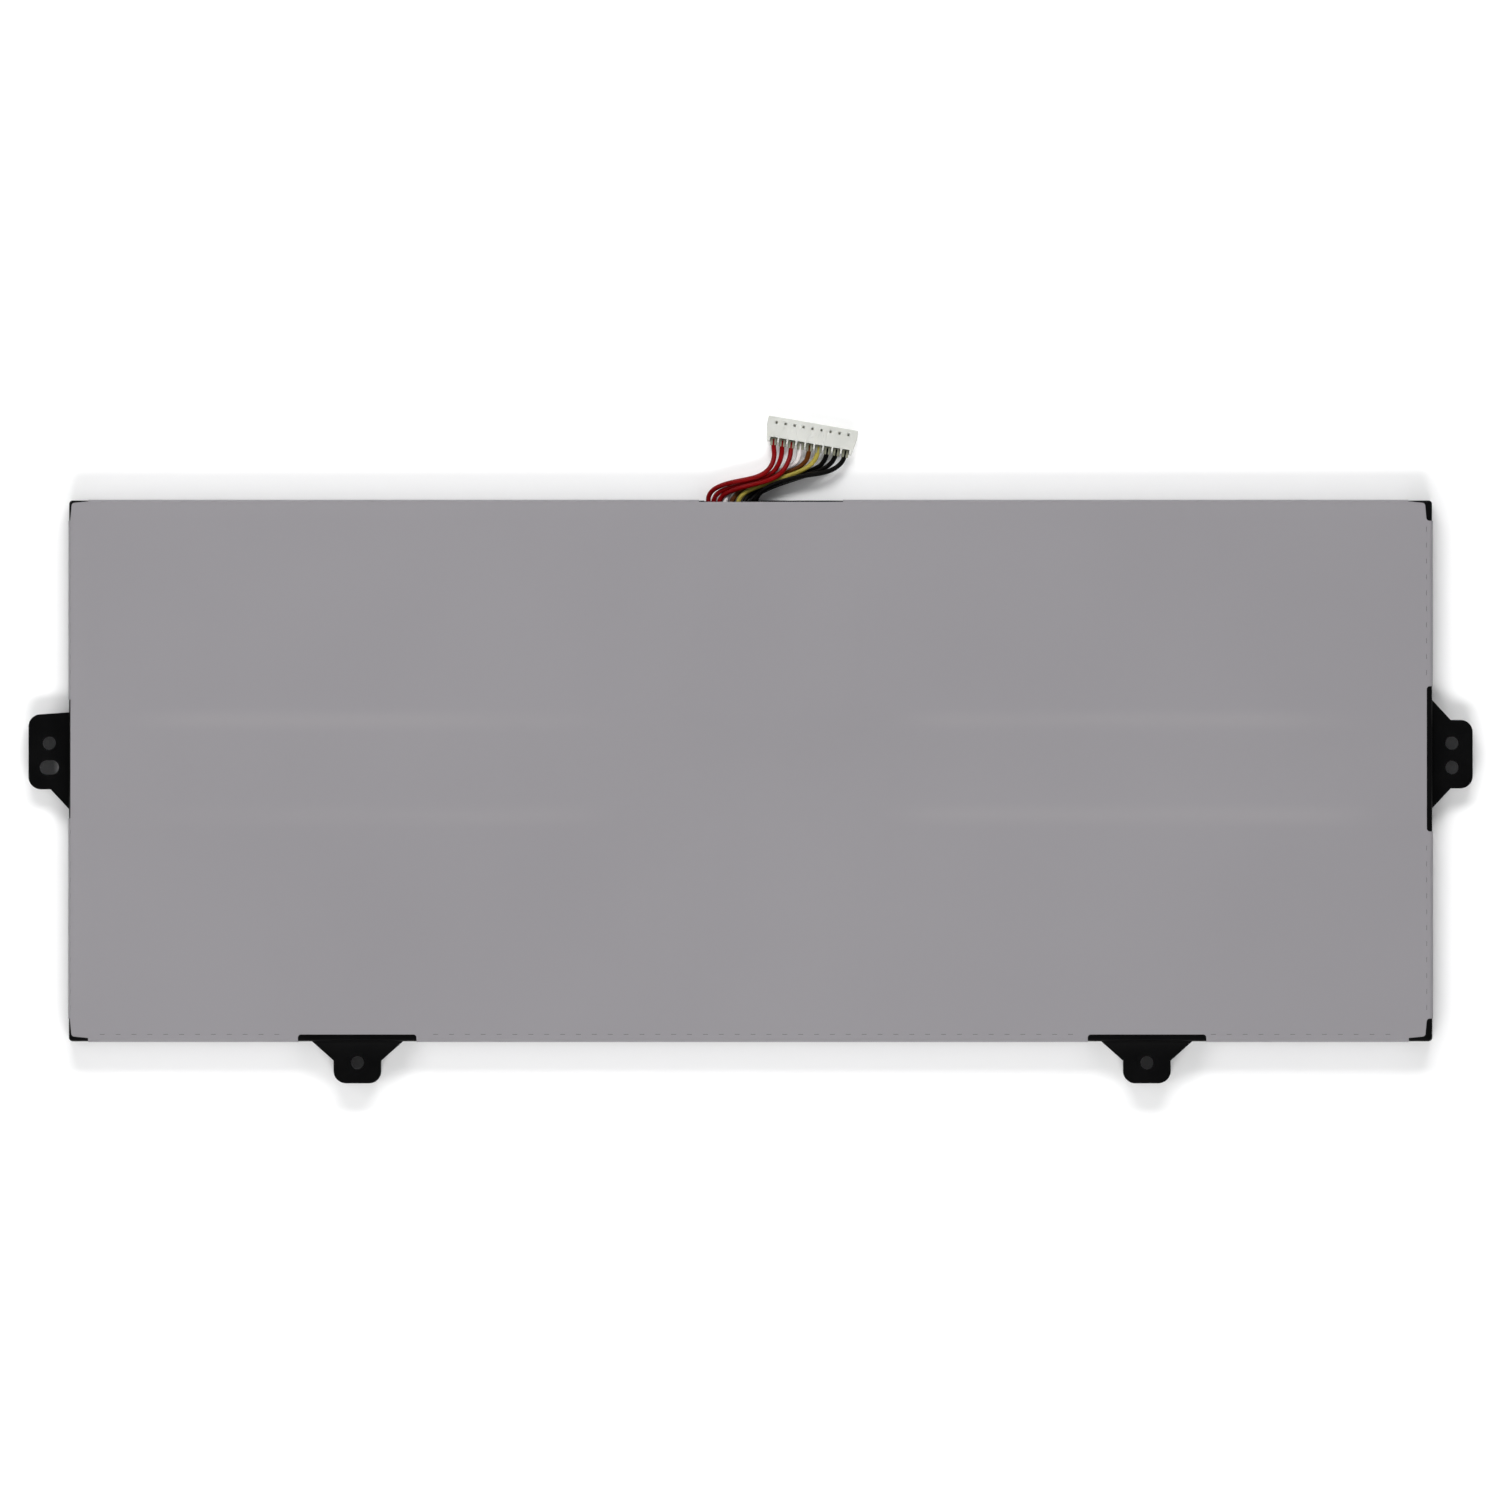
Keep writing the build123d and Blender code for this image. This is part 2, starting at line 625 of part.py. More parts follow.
for (colour, free), entry_x, end_x in zip(free_routes.items(), way_x, pad_x):
    entry = plug_plane.from_local_coords((entry_x, -crimp_rear, wire_height))
    exit_x = free[-1][0]
    fan = [(exit_x + share * (end_x - exit_x), y, z) for share, y, z in zip(fan_share, fan_y, fan_height)]
    route = [tuple(entry), *free, *fan, (end_x, pad_row_y, pad_wire_height)]
    radii = bend_radii(route)
    with BuildPart() as wire:
        with BuildLine() as path:
            FilletPolyline(*route, radius=radii)
        with BuildSketch(path.line ^ 0):
            Circle(wire_diameter / 2)
        sweep(path=path.line)
    save(wire, f"wire_{colour}")
    length = path.wires()[0].length
    fill = wire.part.volume / (pi * wire_diameter**2 / 4 * length)
    print(f"wire_{colour}: length {length:.2f}, smallest bend {min(radii):.2f}, fill {fill:.4f}")
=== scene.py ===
import json
from math import atan2, cos, pi, radians, sin, tan

import bmesh
import bpy
from mathutils import Matrix, Vector


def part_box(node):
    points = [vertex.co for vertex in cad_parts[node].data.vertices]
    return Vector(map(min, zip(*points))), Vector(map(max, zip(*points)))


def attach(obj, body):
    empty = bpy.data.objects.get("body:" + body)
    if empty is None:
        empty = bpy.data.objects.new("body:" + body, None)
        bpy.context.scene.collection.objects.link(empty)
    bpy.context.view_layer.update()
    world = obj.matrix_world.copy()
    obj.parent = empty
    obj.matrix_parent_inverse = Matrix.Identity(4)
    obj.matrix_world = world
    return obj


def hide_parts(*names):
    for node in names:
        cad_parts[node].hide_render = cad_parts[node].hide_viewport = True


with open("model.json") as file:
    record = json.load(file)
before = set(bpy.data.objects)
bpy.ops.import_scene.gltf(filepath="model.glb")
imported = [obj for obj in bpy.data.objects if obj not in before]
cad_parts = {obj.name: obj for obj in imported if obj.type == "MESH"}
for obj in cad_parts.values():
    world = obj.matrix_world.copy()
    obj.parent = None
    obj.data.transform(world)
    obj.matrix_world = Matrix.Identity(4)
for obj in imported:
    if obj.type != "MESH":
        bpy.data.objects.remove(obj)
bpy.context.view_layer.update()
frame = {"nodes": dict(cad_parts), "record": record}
scene = bpy.context.scene
MM = 0.001

# Wrapped pack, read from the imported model
film_low, film_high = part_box("top_film")
base_low, base_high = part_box("base_film")

# Camera: almost straight above the face, a little nearer to the front edge
view_distance = 4000 * MM
view_width = 246.75 * MM
view_tilt = radians(1.2)
view_centre = Vector((-0.1 * MM, 3.4 * MM, film_high.z))
sensor_width = 36

# Film: fold, die-cut lines at their depth from each face, and the perforation along them
film_thickness = 0.12 * MM
fold_radius = 0.5 * MM
fold_segments = 6
film_grid = 2.5 * MM
corner_cut = {"left": 0.3 * MM, "right": 1.02 * MM, "rear": 0.28 * MM, "front": 0.63 * MM}
corner_leg = {"left": 3.29 * MM, "right": 4.01 * MM, "rear": 3.475 * MM, "front": 3.825 * MM}
corner_slant = 0.27 * MM
notch_cut = {"left": 0.36 * MM, "right": 1.02 * MM, "rear": 0.36 * MM, "front": 1.2 * MM}
notches = {
    "left": [(-7.85 * MM, 11.7 * MM)],
    "right": [(-10.0 * MM, 13.9 * MM)],
    "rear": [(-8.5 * MM, 15.2 * MM)],
    "front": [(-74.45 * MM, -54.95 * MM), (55.45 * MM, 74.95 * MM)],
}
die_radius = 0.5 * MM
die_chords = 5
die_overrun = 0.2 * MM
slit_width = 0.05 * MM
slit_length = 0.8 * MM
slit_pitch = 2.6 * MM
slit_margin = 0.5 * MM
cut_tolerance = 0.001 * MM

# Painted highlight on the film along the cell edges beside the board, where the film bends: where it
# lies, begins and fades out
highlight_lines = (8.3 * MM, -7.3 * MM)
highlight_half = 2.4 * MM
highlight_start = (20 * MM, 34 * MM)
highlight_end = (90 * MM, 107 * MM)

# Frame under the films: strip over the board, middle channel and bays, and how far the films sink in
strip_front = -7.0 * MM
strip_rear = 8.0 * MM
channel_half = 15.85 * MM
bay_inner = 16.85 * MM
bay_outer = 110.93 * MM
bay_rear = 43.28 * MM
bay_front = -42.28 * MM
strip_sag = 0.11 * MM
channel_sag = 0.07 * MM
channel_end_slope = 6 * MM
sag_slope = 4.5 * MM
base_rise = 0.1 * MM
base_slope = 1.6 * MM
base_corner = 0.5 * MM
base_corner_segments = 5

# Eased edges of the mouldings
frame_edge = 0.18 * MM
plug_edge = 0.06 * MM
edge_segments = 2
sharp_edge = radians(40)
flat_seam = radians(1)
weld_distance = 0.001 * MM
smooth_angle = radians(35)

# Plug and contacts, in the plug's own directions: x along the row, y towards the mating face
plug_place = Matrix.Translation((10.25 * MM, 56.7 * MM, 0)) @ Matrix.Rotation(radians(-9.85), 4, "Z")
plug_ways = 9
plug_pitch = 1.5 * MM
wire_height = 1.12 * MM
crimp_rear = 3.05 * MM
contact_wall = 0.12 * MM
contact_half = 0.55 * MM
contact_bottom = 0.45 * MM
contact_top = 1.48 * MM
contact_seam = 0.06 * MM
box_rear = -1.9 * MM
latch_rear = -0.65 * MM
box_front = -0.2 * MM
neck_half = 0.36 * MM
neck_rear = -3.3 * MM
barrel_radius = 0.57 * MM
barrel_opening = radians(40)
barrel_rear = -4.05 * MM
barrel_front = -2.85 * MM
core_barrel_radius = 0.45 * MM
core_barrel_opening = radians(24)
core_barrel_rear = -2.65 * MM
core_barrel_front = -2.05 * MM
barrel_steps = 20
core_radius = 0.2 * MM
core_front = -1.95 * MM
core_sides = 14

# Lead: the wires, and their routes in millimetres from the plug through the rear slot to the board
wire_diameter = 0.8 * MM
wire_order = 3
wire_bevel = 5
wire_steps = 6
pad_pitch = 1.5
pad_row_x = -3.0
pad_row_y = 30.5
pad_wire_height = 1.95
fan_share = (0.15, 0.5, 0.85)
fan_y = (41.1, 37.6, 34.0)
fan_height = (2.1, 2.2, 2.12)
free_routes = {
    "red_1": [
        (3.75, 53.55, 1.14), (3.95, 52.25, 1.35), (3.68, 50.75, 1.85), (2.78, 49.4, 2.3),
        (1.3, 48.5, 2.5), (-0.8, 47.98, 2.55), (-3.0, 47.58, 2.52), (-4.95, 47.02, 2.4),
        (-6.4, 46.2, 2.2), (-7.02, 45.05, 2.0), (-6.92, 43.7, 1.98),
    ],
    "red_2": [
        (5.18, 53.35, 1.14), (5.12, 52.1, 1.28), (4.68, 50.6, 1.55), (3.75, 49.25, 1.72),
        (2.25, 48.3, 1.78), (0.2, 47.65, 1.8), (-1.95, 47.1, 1.82), (-3.85, 46.6, 1.85),
        (-5.45, 45.85, 1.93), (-6.1, 44.75, 2.0), (-6.07, 43.5, 1.98),
    ],
    "red_3": [
        (6.65, 53.1, 1.15), (6.52, 51.8, 1.5), (5.92, 50.3, 2.05), (4.85, 48.88, 2.4),
        (3.2, 47.95, 2.5), (1.2, 47.38, 2.5), (-0.9, 46.85, 2.5), (-2.95, 46.2, 2.45),
        (-4.45, 45.55, 2.25), (-5.15, 44.6, 2.05), (-5.22, 43.4, 1.98),
    ],
    "white": [
        (8.15, 52.85, 1.08), (7.88, 51.5, 0.88), (7.1, 50.5, 0.65), (5.7, 49.85, 0.46),
        (3.9, 49.2, 0.42), (1.9, 48.53, 0.42), (-0.1, 47.8, 0.48), (-2.05, 46.9, 0.85),
        (-3.4, 45.9, 1.38), (-4.15, 44.75, 1.84), (-4.3, 43.4, 1.98),
    ],
    "brown": [
        (9.62, 52.6, 1.1), (9.28, 51.3, 1.05), (8.25, 50.2, 0.98), (6.65, 49.4, 0.92),
        (4.65, 48.7, 0.88), (2.6, 48.0, 0.84), (0.6, 47.25, 0.82), (-1.15, 46.42, 0.98),
        (-2.4, 45.6, 1.45), (-3.05, 44.65, 1.86), (-3.2, 43.35, 1.98),
    ],
    "yellow": [
        (11.08, 52.35, 1.12), (10.45, 51.0, 1.3), (9.25, 49.95, 1.55), (7.6, 49.1, 1.66),
        (5.65, 48.45, 1.64), (3.65, 47.75, 1.6), (1.7, 47.05, 1.56), (-0.1, 46.35, 1.6),
        (-1.38, 45.55, 1.78), (-2.0, 44.58, 1.93), (-2.2, 43.35, 1.98),
    ],
    "black_1": [
        (12.55, 52.1, 1.1), (12.0, 50.8, 0.95), (10.75, 49.85, 0.72), (8.9, 49.15, 0.55),
        (6.9, 48.55, 0.48), (4.9, 47.88, 0.45), (2.9, 47.2, 0.45), (1.25, 46.4, 0.55),
        (-0.05, 45.62, 1.0), (-0.92, 44.7, 1.66), (-1.2, 43.35, 1.98),
    ],
    "black_2": [
        (14.0, 51.85, 1.12), (13.2, 50.6, 1.2), (11.75, 49.65, 1.3), (9.95, 48.98, 1.32),
        (8.0, 48.38, 1.3), (6.0, 47.72, 1.28), (4.0, 47.05, 1.25), (2.3, 46.3, 1.25),
        (0.87, 45.45, 1.42), (-0.05, 44.5, 1.77), (-0.35, 43.3, 1.98),
    ],
    "black_3": [
        (15.45, 51.6, 1.2), (14.75, 50.45, 1.6), (13.2, 49.45, 2.05), (11.25, 48.98, 2.3),
        (9.1, 48.68, 2.38), (7.0, 48.22, 2.4), (5.0, 47.62, 2.4), (3.15, 46.9, 2.4),
        (1.75, 46.05, 2.38), (0.92, 44.95, 2.32), (0.5, 43.45, 1.98),
    ],
}

# Floor: a painted glow behind the pack, where the lead lies, that lifts the lead's cast shadow, and
# another far out, where the lights don't reach
floor_reach = 6
floor_glow = 0.012
painted_glow = 0.09
painted_glow_start = 44 * MM
painted_glow_end = 52 * MM
far_glow = 0.8
far_glow_start = 200 * MM
far_glow_end = 600 * MM

# Lights, each with its place, size and power: fills that leave no gloss, and strips for the highlights
fills = {
    "front_fill": ((0.0, -0.52, 0.52), (0.6, 0.2), 3.7),
    "rear_fill": ((0.0, 0.52, 0.52), (0.6, 0.2), 3.7),
    "left_fill": ((-0.76, 0.0, 0.72), (1.0, 0.26), 3.0),
    "right_fill": ((0.76, 0.0, 0.72), (1.0, 0.26), 0.8),
}
strips = {
    "front_strip": ((0.0, -0.7, 0.55), (0.9, 0.2), 0.9),
    "rear_strip": ((0.0, 0.7, 0.55), (0.9, 0.2), 0.9),
}
room_colour = (0.9, 0.92, 0.95, 1)
room_light = 0.1


# Materials
def new_material(name):
    material = bpy.data.materials.new(name)
    material.use_nodes = True
    return material, material.node_tree, material.node_tree.nodes["Principled BSDF"]


def link(tree, source, target):
    tree.links.new(source, target)


def object_place(tree, stretch=(1, 1, 1)):
    place = tree.nodes.new("ShaderNodeTexCoord")
    mapping = tree.nodes.new("ShaderNodeMapping")
    mapping.inputs["Scale"].default_value = stretch
    link(tree, place.outputs["Object"], mapping.inputs["Vector"])
    return mapping.outputs["Vector"]


def noise(tree, place, scale, detail=2):
    node = tree.nodes.new("ShaderNodeTexNoise")
    node.inputs["Scale"].default_value = scale
    node.inputs["Detail"].default_value = detail
    link(tree, place, node.inputs["Vector"])
    return node.outputs["Fac"]


def ramp(tree, factor, dark, light, low=0.3, high=0.7):
    node = tree.nodes.new("ShaderNodeValToRGB")
    first, last = node.color_ramp.elements
    first.position = low
    first.color = (*dark, 1)
    last.position = high
    last.color = (*light, 1)
    link(tree, factor, node.inputs["Fac"])
    return node.outputs["Color"]


def spread(tree, value, from_low, from_high, to_low, to_high):
    node = tree.nodes.new("ShaderNodeMapRange")
    node.interpolation_type = "SMOOTHSTEP"
    node.inputs["From Min"].default_value = from_low
    node.inputs["From Max"].default_value = from_high
    node.inputs["To Min"].default_value = to_low
    node.inputs["To Max"].default_value = to_high
    link(tree, value, node.inputs["Value"])
    return node.outputs["Result"]


def bump(tree, height, strength, distance, below=None):
    node = tree.nodes.new("ShaderNodeBump")
    node.inputs["Strength"].default_value = strength
    node.inputs["Distance"].default_value = distance
    link(tree, height, node.inputs["Height"])
    if below is not None:
        link(tree, below, node.inputs["Normal"])
    return node.outputs["Normal"]


def calculate(tree, operation, first, second=0):
    node = tree.nodes.new("ShaderNodeMath")
    node.operation = operation
    for value, socket in zip((first, second), node.inputs):
        if isinstance(value, (int, float)):
            socket.default_value = value
        else:
            link(tree, value, socket)
    return node.outputs["Value"]


def grained(name, dark, light, mottling, roughness, graining, grain, metallic=0.0, specular=0.5):
    """A finish with soft mottling in its colour, uneven gloss and a fine grain."""
    material, tree, shader = new_material(name)
    place = object_place(tree)
    mottle = noise(tree, place, mottling, detail=4)
    fine = noise(tree, place, graining)
    shader.inputs["Metallic"].default_value = metallic
    shader.inputs["Specular IOR Level"].default_value = specular
    link(tree, ramp(tree, mottle, dark, light), shader.inputs["Base Color"])
    link(tree, spread(tree, mottle, 0.25, 0.75, *roughness), shader.inputs["Roughness"])
    link(tree, bump(tree, fine, *grain), shader.inputs["Normal"])
    return material


def film_grey():
    """Satin grey film, faintly purple, with a fine grain and a painted highlight along the cell edges,
    where the film bends.
    """
    material, tree, shader = new_material("film_grey")
    place = object_place(tree)
    clouds = noise(tree, place, 22, detail=3)
    smears = noise(tree, object_place(tree, (14, 90, 14)), 1, detail=3)
    fine = noise(tree, place, 5200)
    grey = ramp(tree, clouds, (0.243, 0.234, 0.247), (0.252, 0.243, 0.256))
    split = tree.nodes.new("ShaderNodeSeparateXYZ")
    link(tree, place, split.inputs["Vector"])
    along = calculate(tree, "ABSOLUTE", split.outputs["X"])
    on_cells = spread(tree, along, *highlight_start, 0, 1)
    off_ends = spread(tree, along, *highlight_end, 1, 0)
    near = []
    for line in highlight_lines:
        away = calculate(tree, "ABSOLUTE", calculate(tree, "SUBTRACT", split.outputs["Y"], line))
        near.append(spread(tree, away, 0, highlight_half, 1, 0))
    painted_highlight = calculate(tree, "MAXIMUM", *near)
    painted_highlight = calculate(tree, "MULTIPLY", painted_highlight, calculate(tree, "MULTIPLY", on_cells, off_ends))
    painted_highlight = calculate(tree, "MULTIPLY", painted_highlight, spread(tree, smears, 0.35, 0.65, 0.1, 0.35))
    # Painted highlight: a lighter grey mixed into the film's colour along the cell edges beside the
    # board
    mix = tree.nodes.new("ShaderNodeMix")
    mix.data_type = "RGBA"
    link(tree, painted_highlight, mix.inputs["Factor"])
    link(tree, grey, mix.inputs["A"])
    mix.inputs["B"].default_value = (0.3, 0.285, 0.293, 1)
    link(tree, mix.outputs["Result"], shader.inputs["Base Color"])
    link(tree, spread(tree, smears, 0.3, 0.7, 0.4, 0.5), shader.inputs["Roughness"])
    shader.inputs["Specular IOR Level"].default_value = 0.4
    waves = bump(tree, smears, 0.12, 0.15 * MM)
    link(tree, bump(tree, fine, 0.08, 0.03 * MM, below=waves), shader.inputs["Normal"])
    return material


def wire_insulation(name, dark, light):
    """Smooth coloured insulation, a little uneven in colour and gloss."""
    material, tree, shader = new_material(name)
    shader.inputs["Specular IOR Level"].default_value = 0.2
    place = object_place(tree)
    shade = noise(tree, place, 420, detail=3)
    fine = noise(tree, place, 4200)
    link(tree, ramp(tree, shade, dark, light), shader.inputs["Base Color"])
    link(tree, spread(tree, shade, 0.3, 0.7, 0.26, 0.38), shader.inputs["Roughness"])
    link(tree, bump(tree, fine, 0.06, 0.02 * MM), shader.inputs["Normal"])
    return material


def plug_white():
    """White nylon, a little see-through at thin walls."""
    material, tree, shader = new_material("plug_white")
    place = object_place(tree)
    shade = noise(tree, place, 260, detail=3)
    fine = noise(tree, place, 3800)
    white = ramp(tree, shade, (0.52, 0.525, 0.49), (0.58, 0.585, 0.55))
    link(tree, white, shader.inputs["Base Color"])
    shader.inputs["Subsurface Weight"].default_value = 0.15
    shader.inputs["Subsurface Radius"].default_value = (1, 0.9, 0.75)
    shader.inputs["Subsurface Scale"].default_value = 0.3 * MM
    link(tree, spread(tree, shade, 0.3, 0.7, 0.36, 0.48), shader.inputs["Roughness"])
    link(tree, bump(tree, fine, 0.08, 0.02 * MM), shader.inputs["Normal"])
    return material


def board_green():
    """Green solder mask over copper tracks that run along the board."""
    material, tree, shader = new_material("board_green")
    place = object_place(tree)
    tracks = tree.nodes.new("ShaderNodeTexWave")
    tracks.bands_direction = "Y"
    tracks.inputs["Scale"].default_value = 190
    tracks.inputs["Distortion"].default_value = 0.6
    link(tree, place, tracks.inputs["Vector"])
    bands = tracks.outputs["Fac"]
    mask = ramp(tree, bands, (0.012, 0.09, 0.035), (0.02, 0.15, 0.06), low=0.45, high=0.55)
    link(tree, mask, shader.inputs["Base Color"])
    shade = noise(tree, place, 900)
    link(tree, spread(tree, shade, 0.3, 0.7, 0.22, 0.34), shader.inputs["Roughness"])
    link(tree, bump(tree, bands, 0.2, 0.03 * MM), shader.inputs["Normal"])
    return material


finishes = {
    "film_grey": film_grey(),
    "frame_black": grained(
        "frame_black", (0.0019, 0.0019, 0.002), (0.0029, 0.0029, 0.003),
        mottling=260, roughness=(0.4, 0.5), graining=2600, grain=(0.2, 0.04 * MM), specular=0.12,
    ),
    "film_black": grained(
        "film_black", (0.007, 0.007, 0.0074), (0.011, 0.011, 0.0115),
        mottling=300, roughness=(0.42, 0.46), graining=4800, grain=(0.1, 0.03 * MM), specular=0.4,
    ),
    "pouch_foil": grained(
        "pouch_foil", (0.6, 0.61, 0.63), (0.72, 0.73, 0.75),
        mottling=180, roughness=(0.32, 0.46), graining=900, grain=(0.25, 0.05 * MM), metallic=0.9,
    ),
    "tab_aluminium": grained(
        "tab_aluminium", (0.7, 0.7, 0.71), (0.8, 0.8, 0.81),
        mottling=500, roughness=(0.25, 0.36), graining=3000, grain=(0.1, 0.02 * MM), metallic=1.0,
    ),
    "tab_nickel": grained(
        "tab_nickel", (0.48, 0.45, 0.4), (0.6, 0.57, 0.52),
        mottling=500, roughness=(0.25, 0.38), graining=3000, grain=(0.1, 0.02 * MM), metallic=1.0,
    ),
    "board_green": board_green(),
    "chip_black": grained(
        "chip_black", (0.016, 0.016, 0.017), (0.026, 0.026, 0.028),
        mottling=900, roughness=(0.45, 0.58), graining=6000, grain=(0.2, 0.02 * MM),
    ),
    "chip_ceramic": grained(
        "chip_ceramic", (0.4, 0.31, 0.21), (0.52, 0.42, 0.3),
        mottling=1200, roughness=(0.3, 0.42), graining=6000, grain=(0.1, 0.01 * MM),
    ),
    "solder": grained(
        "solder", (0.45, 0.45, 0.46), (0.66, 0.66, 0.67),
        mottling=900, roughness=(0.22, 0.4), graining=2500, grain=(0.2, 0.05 * MM), metallic=1.0,
    ),
    "tape_amber": grained(
        "tape_amber", (0.45, 0.2, 0.025), (0.58, 0.29, 0.05),
        mottling=90, roughness=(0.18, 0.3), graining=1500, grain=(0.08, 0.03 * MM),
    ),
    "plug_white": plug_white(),
    "contact_metal": grained(
        "contact_metal", (0.24, 0.24, 0.18), (0.33, 0.33, 0.25),
        mottling=1500, roughness=(0.35, 0.5), graining=6000, grain=(0.15, 0.02 * MM), metallic=0.15,
    ),
    "wire_red": wire_insulation("wire_red", (0.14, 0.0004, 0.0012), (0.182, 0.0008, 0.0018)),
    "wire_white": wire_insulation("wire_white", (0.55, 0.515, 0.51), (0.62, 0.585, 0.58)),
    "wire_brown": wire_insulation("wire_brown", (0.064, 0.017, 0.0018), (0.084, 0.0235, 0.0028)),
    "wire_yellow": wire_insulation("wire_yellow", (0.29, 0.237, 0.042), (0.345, 0.284, 0.055)),
    "wire_black": wire_insulation("wire_black", (0.0014, 0.0012, 0.0011), (0.0022, 0.0019, 0.0018)),
}


# Pieces
def add_piece(name, data, slot, *replaced):
    piece = bpy.data.objects.new(name, data)
    scene.collection.objects.link(piece)
    data.materials.append(finishes[slot])
    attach(piece, "root")
    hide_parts(*replaced)
    return piece


def mesh_from(name, bm):
    mesh = bpy.data.meshes.new(name)
    bm.to_mesh(mesh)
    bm.free()
    mesh.shade_smooth()
    mesh.set_sharp_from_angle(angle=smooth_angle)
    return mesh


def slice_faces(bm, faces, point, normal):
    """Cuts the faces along a plane and returns what they have become."""
    geom = {part for face in faces for part in (face, *face.edges, *face.verts)}
    cut = bmesh.ops.bisect_plane(
        bm, geom=list(geom), dist=cut_tolerance, plane_co=point, plane_no=normal.normalized()
    )
    return [part for part in cut["geom"] if isinstance(part, bmesh.types.BMFace)]


def slice_along(bm, axis, places):
    normal = Vector((axis == "x", axis == "y", 0))
    for place in places:
        slice_faces(bm, bm.faces[:], normal * place, normal)


def steps(low, high, spacing):
    count = round((high - low) / spacing)
    return [low + (high - low) * step / count for step in range(1, count)]


def ease(value, low, high):
    share = min(max((value - low) / (high - low), 0), 1)
    return share * share * (3 - 2 * share)


def between(value, low, high, slope):
    return ease(value, low, low + slope) * (1 - ease(value, high - slope, high))


def box_mesh(low, high):
    bm = bmesh.new()
    bmesh.ops.create_cube(bm, size=1)
    bmesh.ops.scale(bm, vec=high - low, verts=bm.verts)
    bmesh.ops.translate(bm, vec=(low + high) / 2, verts=bm.verts)
    return bm


def film_sag(x, y):
    """How far the top film sinks into the strip over the board and into the middle channel."""
    strip = between(y, strip_front, strip_rear, sag_slope)
    strip *= between(x, -bay_outer, bay_outer, sag_slope)
    channel = between(x, -channel_half, channel_half, sag_slope)
    channel *= between(y, bay_front, bay_rear, channel_end_slope)
    return max(strip * strip_sag, channel * channel_sag)


def film_depth(place, side):
    """How far a place lies in from one face of the film."""
    return {
        "left": place.x - film_low.x,
        "right": film_high.x - place.x,
        "rear": film_high.y - place.y,
        "front": place.y - film_low.y,
    }[side]


def fold_place(side, along, depth):
    """The place at a depth from one face of the film, and so far along it."""
    return {
        "left": Vector((film_low.x + depth, along, 0)),
        "right": Vector((film_high.x - depth, along, 0)),
        "rear": Vector((along, film_high.y - depth, 0)),
        "front": Vector((along, film_low.y + depth, 0)),
    }[side]


def runs_along(side):
    return Vector((1, 0, 0)) if side in ("rear", "front") else Vector((0, 1, 0))


def rounding(cut):
    return die_radius if cut > 2 * die_radius else 0


def rounded(points, radii):
    """The outline through these points, with each arc at a corner as a few chords."""
    outline = []
    for index, (corner, radius) in enumerate(zip(points, radii)):
        if radius == 0:
            outline.append(corner)
            continue
        before = (points[index - 1] - corner).normalized()
        after = (points[(index + 1) % len(points)] - corner).normalized()
        half = before.angle(after) / 2
        centre = corner + (before + after).normalized() * radius / sin(half)
        start = corner + before * radius / tan(half) - centre
        stop = corner + after * radius / tan(half) - centre
        for step in range(die_chords + 1):
            outline.append(centre + radius * start.slerp(stop, step / die_chords))
    return outline


def corner_outline(side, end):
    """What the die takes away at one corner: two slanted legs along the folds."""
    across, along = corner_cut[side], corner_cut[end]
    depths = [
        (-die_overrun, -die_overrun),
        (corner_leg[side], -die_overrun),
        (corner_leg[side], along),
        (across + corner_slant, along + corner_slant),
        (across, corner_leg[end]),
        (-die_overrun, corner_leg[end]),
    ]
    points = [fold_place(side, fold_place(end, 0, y).y, x) for x, y in depths]
    return rounded(points, [0, 0, rounding(along), die_radius, rounding(across), 0])


def notch_outline(side, low, high):
    """What the die takes away at an ear or at the lead."""
    cut = notch_cut[side]
    spots = [(low, -die_overrun), (high, -die_overrun), (high, cut), (low, cut)]
    points = [fold_place(side, along, depth) for along, depth in spots]
    return rounded(points, [0, 0, rounding(cut), rounding(cut)])


waste_outlines = [corner_outline(side, end) for side in ("left", "right") for end in ("rear", "front")]
waste_outlines += [notch_outline(side, *span) for side, spans in notches.items() for span in spans]


def round_trip(outline):
    return zip(outline, outline[1:] + outline[:1])


def cut_outline(bm, outline):
    """Cuts an outline, seen from above, into the faces that it crosses."""
    for start, stop in round_trip(outline):
        low = Vector((min(start.x, stop.x), min(start.y, stop.y)))
        high = Vector((max(start.x, stop.x), max(start.y, stop.y)))
        crossed = []
        for face in bm.faces:
            across = [vert.co.x for vert in face.verts]
            along = [vert.co.y for vert in face.verts]
            meets_across = max(across) >= low.x and min(across) <= high.x
            meets_along = max(along) >= low.y and min(along) <= high.y
            if meets_across and meets_along:
                crossed.append(face)
        slice_faces(bm, crossed, start, Vector((start.y - stop.y, stop.x - start.x, 0)))


def cut_away(place):
    """Whether the die takes the film away at a place."""
    for outline in waste_outlines:
        inside = False
        for start, stop in round_trip(outline):
            if (start.y > place.y) != (stop.y > place.y):
                share = (place.y - start.y) / (stop.y - start.y)
                inside ^= place.x < start.x + share * (stop.x - start.x)
        if inside:
            return True
    return False


def cut_slits(bm, side):
    """Perforates the fold line of one side with short slits, wherever its flap is left."""
    along = runs_along(side)
    cut = notch_cut[side]
    reach = film_high.dot(along)
    depths = [(face, film_depth(face.calc_center_median(), side)) for face in bm.faces]
    strip = [face for face, depth in depths if cut < depth < cut + slit_width]
    spans = []
    for start in steps(-reach, reach, slit_pitch):
        ends = (start - slit_margin, start + slit_length + slit_margin)
        if any(cut_away(fold_place(side, end, cut / 2)) for end in ends):
            continue
        spans.append((start, start + slit_length))
        for end in spans[-1]:
            strip = slice_faces(bm, strip, along * end, along)
    places = [(face, face.calc_center_median().dot(along)) for face in strip]
    slits = [face for face, place in places if any(start < place < end for start, end in spans)]
    bmesh.ops.delete(bm, geom=slits, context="FACES")


